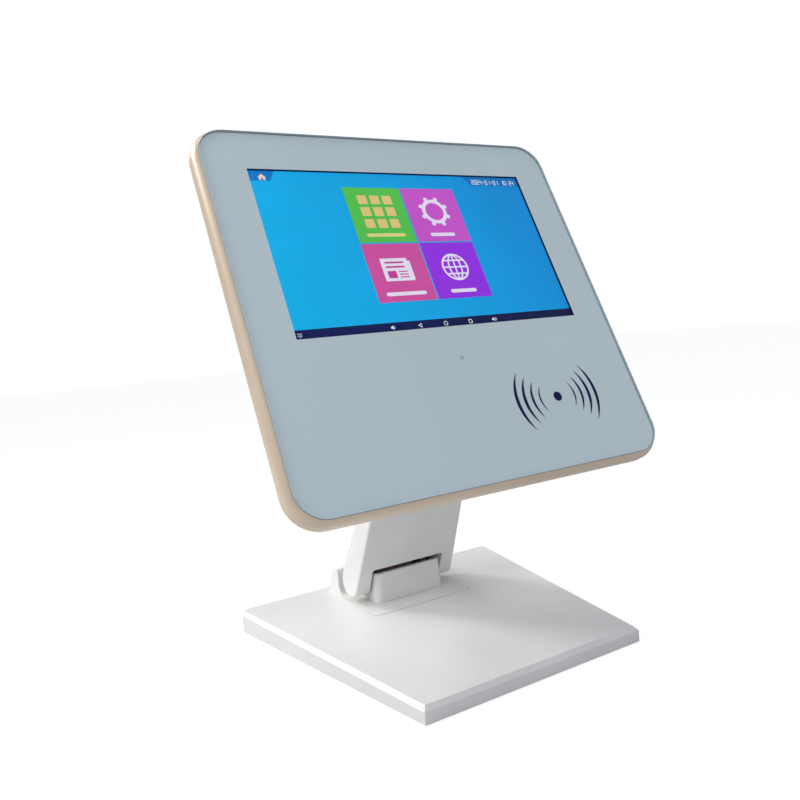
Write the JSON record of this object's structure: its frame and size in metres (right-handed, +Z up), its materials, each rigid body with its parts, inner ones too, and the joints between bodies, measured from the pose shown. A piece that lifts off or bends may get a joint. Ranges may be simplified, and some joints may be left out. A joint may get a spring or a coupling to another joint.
{
  "type": "pos touchscreen terminal",
  "caption": "Countertop touchscreen terminal: glass-fronted panel tilting on a hinged neck over a weighted wedge base, with sockets and a power button behind.",
  "frame": {"origin": "middle of the footprint, on the counter", "axes": "+Z up, -Y towards the user, +X to the user's right"},
  "size_m": [0.3308, 0.254, 0.4192],
  "materials": {
    "base_cover": "satin white",
    "base_floor_plate": "black powder coat",
    "base_feet": "matt",
    "ballast_plate": "zinc plated",
    "floor_plate_screws": "zinc plated",
    "pedestal_cover": "satin white",
    "pedestal_screws": "zinc plated",
    "base_hinge_bracket": "zinc plated",
    "base_hinge_bushes": "acetal",
    "base_bracket_bolts": "zinc plated",
    "neck_front_shell": "satin white",
    "neck_rear_cover": "satin white",
    "neck_spine": "zinc plated",
    "lower_hinge_arms": "zinc plated",
    "upper_hinge_arms": "zinc plated",
    "hinge_leaf": "taupe coat",
    "lower_hinge_shaft": "ground",
    "upper_hinge_shaft": "ground",
    "lower_friction_washers": "spring steel",
    "upper_friction_washers": "spring steel",
    "lower_hinge_nut": "zinc plated",
    "upper_hinge_nut": "zinc plated",
    "spine_screws": "zinc plated",
    "neck_cover_screws": "zinc plated",
    "cover_glass": "polished",
    "printed_border": "printed ink",
    "reader_symbol": "printed ink",
    "glass_tape": "foam tape",
    "edge_frame": "champagne anodised",
    "touch_sensor": "laminated film",
    "display_gasket": "foam",
    "lcd_cell": "lit picture",
    "backlight_tray": "pressed sheet",
    "light_guide": "acrylic",
    "chassis_plate": "zinc plated",
    "main_board": "solder mask",
    "board_chips": "moulded",
    "heat_sink": "black anodised",
    "clock_battery": "nickel plated",
    "board_screws": "zinc plated",
    "reader_board": "solder mask",
    "reader_ferrite": "ferrite sheet",
    "light_sensor": "moulded",
    "speakers": "moulded",
    "antenna_boards": "solder mask",
    "port_board": "solder mask",
    "power_inlet": "moulded",
    "network_socket": "plated shield",
    "drawer_socket": "moulded",
    "usb_sockets": "plated shield",
    "power_switch": "moulded",
    "power_button": "satin white",
    "rear_housing": "fine texture white",
    "housing_screws": "zinc plated",
    "head_bracket": "light grey powder coat",
    "head_hinge_bushes": "acetal",
    "bracket_screws": "zinc plated",
    "display_cable": "polyimide film",
    "reader_cable": "ribbon",
    "port_cable": "ribbon"
  },
  "bodies": {
    "base": {"base_cover": "base_cover", "base_floor_plate": "base_floor_plate", "base_feet": "base_feet", "ballast_plate": "ballast_plate", "floor_plate_screws": "floor_plate_screws", "pedestal_cover": "pedestal_cover", "pedestal_screws": "pedestal_screws", "base_hinge_bracket": "base_hinge_bracket", "base_hinge_bushes": "base_hinge_bushes", "base_bracket_bolts": "base_bracket_bolts"},
    "neck": {"neck_front_shell": "neck_front_shell", "neck_rear_cover": "neck_rear_cover", "neck_spine": "neck_spine", "lower_hinge_arms": "lower_hinge_arms", "upper_hinge_arms": "upper_hinge_arms", "hinge_leaf": "hinge_leaf", "lower_hinge_shaft": "lower_hinge_shaft", "upper_hinge_shaft": "upper_hinge_shaft", "lower_friction_washers": "lower_friction_washers", "upper_friction_washers": "upper_friction_washers", "lower_hinge_nut": "lower_hinge_nut", "upper_hinge_nut": "upper_hinge_nut", "spine_screws": "spine_screws", "neck_cover_screws": "neck_cover_screws"},
    "head": {"cover_glass": "cover_glass", "printed_border": "printed_border", "reader_symbol": "reader_symbol", "glass_tape": "glass_tape", "edge_frame": "edge_frame", "touch_sensor": "touch_sensor", "display_gasket": "display_gasket", "lcd_cell": "lcd_cell", "backlight_tray": "backlight_tray", "light_guide": "light_guide", "chassis_plate": "chassis_plate", "main_board": "main_board", "board_chips": "board_chips", "heat_sink": "heat_sink", "clock_battery": "clock_battery", "board_screws": "board_screws", "reader_board": "reader_board", "reader_ferrite": "reader_ferrite", "light_sensor": "light_sensor", "speakers": "speakers", "antenna_boards": "antenna_boards", "port_board": "port_board", "power_inlet": "power_inlet", "network_socket": "network_socket", "drawer_socket": "drawer_socket", "usb_sockets": "usb_sockets", "power_switch": "power_switch", "rear_housing": "rear_housing", "housing_screws": "housing_screws", "head_bracket": "head_bracket", "head_hinge_bushes": "head_hinge_bushes", "bracket_screws": "bracket_screws", "display_cable": "display_cable", "reader_cable": "reader_cable", "port_cable": "port_cable"},
    "power_button": {"power_button": "power_button"}
  },
  "joints": [
    {"name": "base_hinge", "type": "hinge", "parent": "base", "child": "neck", "pos_m": [0, 0.0715, 0.0374], "axis": [1, 0, 0], "range_deg": [-35, 15]},
    {"name": "head_hinge", "type": "hinge", "parent": "neck", "child": "head", "pos_m": [0, -0.01622, 0.21269], "axis": [1, 0, 0], "range_deg": [-40, 25]},
    {"name": "power_button_press", "type": "slide", "parent": "head", "child": "power_button", "axis": [0, 0.4321, 0.9018], "range_m": [0, 0.0008], "stiffness_N_per_m": 2500}
  ]
}
